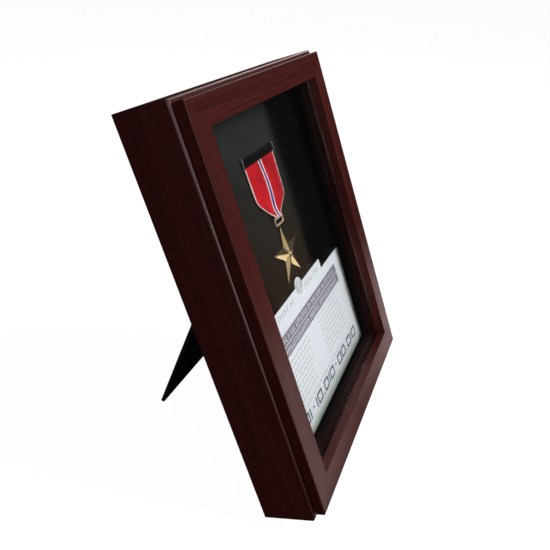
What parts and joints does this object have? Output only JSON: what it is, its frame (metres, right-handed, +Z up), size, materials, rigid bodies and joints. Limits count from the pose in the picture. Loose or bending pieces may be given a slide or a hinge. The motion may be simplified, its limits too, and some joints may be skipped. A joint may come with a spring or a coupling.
{
  "type": "medal display frame",
  "caption": "Deep mahogany shadow-box frame with a glass front, a velvet pad holding a ribboned star medal, a printed card, and a folding easel leg behind.",
  "frame": {"origin": "middle of the footprint's bounding box, on the surface that the frame stands on", "axes": "+Z up; the glass faces -Y and leans back by 21 degrees; +X is to the right for someone who faces the glass"},
  "size_m": [0.1888, 0.1414, 0.2347],
  "materials": {
    "mahogany": "satin",
    "glass": "gloss",
    "black_liner": "matte",
    "black_velvet": "matte",
    "foam": "matte",
    "printed_card": "matte",
    "dark_metal": "satin",
    "red_ribbon": "matte",
    "gold": "polished",
    "black_board": "matte",
    "zinc_steel": "satin",
    "brass_plated": "satin",
    "clear_rubber": "satin"
  },
  "bodies": {
    "case": {"face_rail_left": "mahogany", "face_rail_right": "mahogany", "face_rail_top": "mahogany", "face_rail_bottom": "mahogany", "box_wall_left": "mahogany", "box_wall_right": "mahogany", "box_wall_top": "mahogany", "box_wall_bottom": "mahogany", "glass_pane": "glass", "liner_left": "black_liner", "liner_right": "black_liner", "liner_bottom": "black_liner", "liner_top": "black_liner", "velvet_cover": "black_velvet", "foam_pad": "foam", "insert_card": "printed_card", "brooch_bar": "dark_metal", "brooch_pin": "zinc_steel", "ribbon": "red_ribbon", "back_panel": "black_board", "hinge_leaf_fixed": "zinc_steel", "hinge_pin": "zinc_steel", "panel_rivet_left": "zinc_steel", "panel_rivet_right": "zinc_steel", "screw_upper_left": "brass_plated", "screw_lower_left": "brass_plated", "screw_upper_right": "brass_plated", "screw_lower_right": "brass_plated", "sawtooth_hanger": "zinc_steel", "hanger_nail_left": "zinc_steel", "hanger_nail_right": "zinc_steel", "bumper_left": "clear_rubber", "bumper_right": "clear_rubber"},
    "leg": {"easel_leg": "black_board", "hinge_leaf_leg": "zinc_steel", "leg_rivet_left": "zinc_steel", "leg_rivet_right": "zinc_steel"},
    "pendant": {"medal_ring": "gold", "medal_star": "gold"},
    "turn_button_upper_left": {"turn_button_upper_left": "brass_plated"},
    "turn_button_lower_left": {"turn_button_lower_left": "brass_plated"},
    "turn_button_upper_right": {"turn_button_upper_right": "brass_plated"},
    "turn_button_lower_right": {"turn_button_lower_right": "brass_plated"}
  },
  "joints": [
    {"name": "easel_leg_fold", "type": "hinge", "parent": "case", "child": "leg", "pos_m": [0, 0.02224, 0.14607], "axis": [-1, 0, 0], "range_deg": [0, 39.1]},
    {"name": "pendant_swing", "type": "hinge", "parent": "case", "child": "pendant", "pos_m": [-0.0037, -0.00007, 0.14821], "axis": [-1, 0, 0], "range_deg": [0, 11]},
    {"name": "swivel_upper_left", "type": "hinge", "parent": "case", "child": "turn_button_upper_left", "pos_m": [-0.08875, 0.02987, 0.16928], "axis": [0, 0.9336, -0.3584], "continuous": true},
    {"name": "swivel_lower_left", "type": "hinge", "parent": "case", "child": "turn_button_lower_left", "pos_m": [-0.08875, -0.01457, 0.05351], "axis": [0, 0.9336, -0.3584], "continuous": true},
    {"name": "swivel_upper_right", "type": "hinge", "parent": "case", "child": "turn_button_upper_right", "pos_m": [0.08875, 0.02987, 0.16928], "axis": [0, 0.9336, -0.3584], "continuous": true},
    {"name": "swivel_lower_right", "type": "hinge", "parent": "case", "child": "turn_button_lower_right", "pos_m": [0.08875, -0.01457, 0.05351], "axis": [0, 0.9336, -0.3584], "continuous": true}
  ]
}
